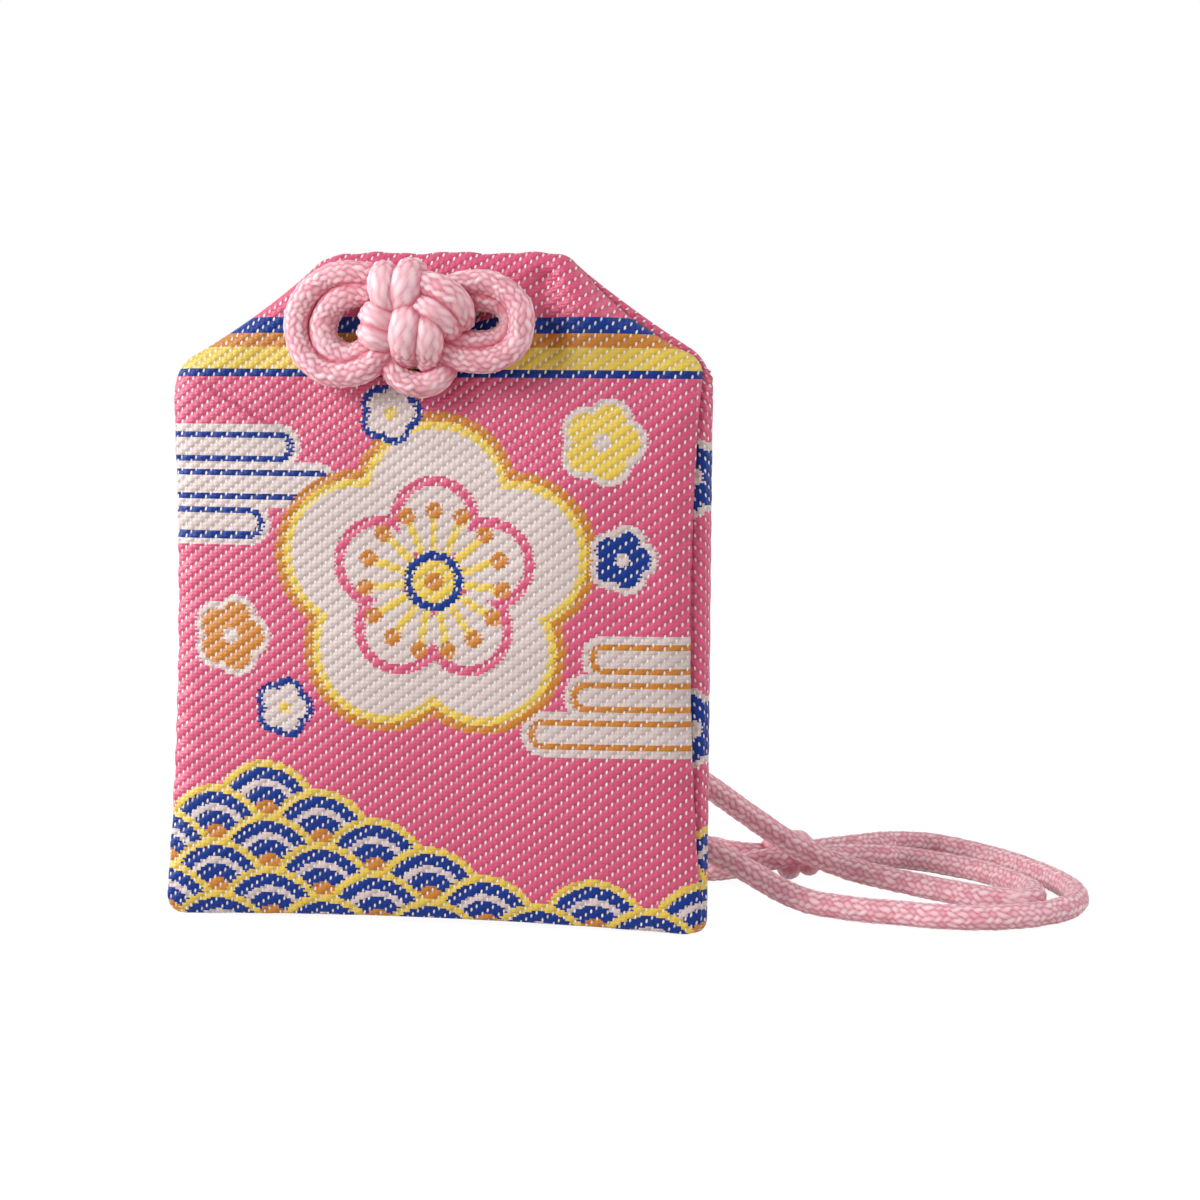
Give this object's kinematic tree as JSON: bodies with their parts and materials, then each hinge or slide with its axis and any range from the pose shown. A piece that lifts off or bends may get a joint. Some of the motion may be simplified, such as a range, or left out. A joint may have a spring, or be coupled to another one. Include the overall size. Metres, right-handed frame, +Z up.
{
  "type": "omamori charm",
  "caption": "Flat brocade charm pouch with slanted shoulders, closed by a doubled cord knot on the front; the cord runs through the cloth to a hanging loop, and a wrapped talisman lies inside.",
  "frame": {"origin": "middle of the pouch's base, on its flat underside", "axes": "+X to the right as the front is seen, +Y to the back, +Z up from the base to the mouth"},
  "size_m": [0.0792, 0.0432, 0.057],
  "materials": {
    "brocade_front": "woven brocade, pink ground with a many-coloured design",
    "brocade_back": "woven brocade, pink ground with white flecks",
    "cord": "round braided cord, pale pink, silky",
    "thread": "spun sewing thread",
    "batting": "loose white fibre batting",
    "card": "uncoated grey board",
    "slip": "planed pale cypress",
    "wrapper": "uncoated white paper"
  },
  "bodies": {
    "pouch": {"brocade_front": "brocade_front", "brocade_back": "brocade_back", "seam_thread": "thread", "batting_pad": "batting", "core_card": "card", "front_knot": "cord"},
    "talisman": {"talisman_slip": "slip", "talisman_wrapper": "wrapper"},
    "hanging_loop": {"cord_bend_left": "cord", "cord_bend_right": "cord", "loop_leg_left": "cord", "loop_leg_right": "cord", "end_knot": "cord"}
  },
  "joints": [
    {"name": "loop_swing", "type": "hinge", "parent": "pouch", "child": "hanging_loop", "pos_m": [0, 0.0026, 0.0525], "axis": [1, 0, 0], "range_deg": [0, 150], "deforming": ["cord_bend_left", "cord_bend_right"]},
    {"name": "talisman_slide", "type": "slide", "parent": "pouch", "child": "talisman", "axis": [0, 0, 1], "range_m": [0, 0.004]}
  ]
}
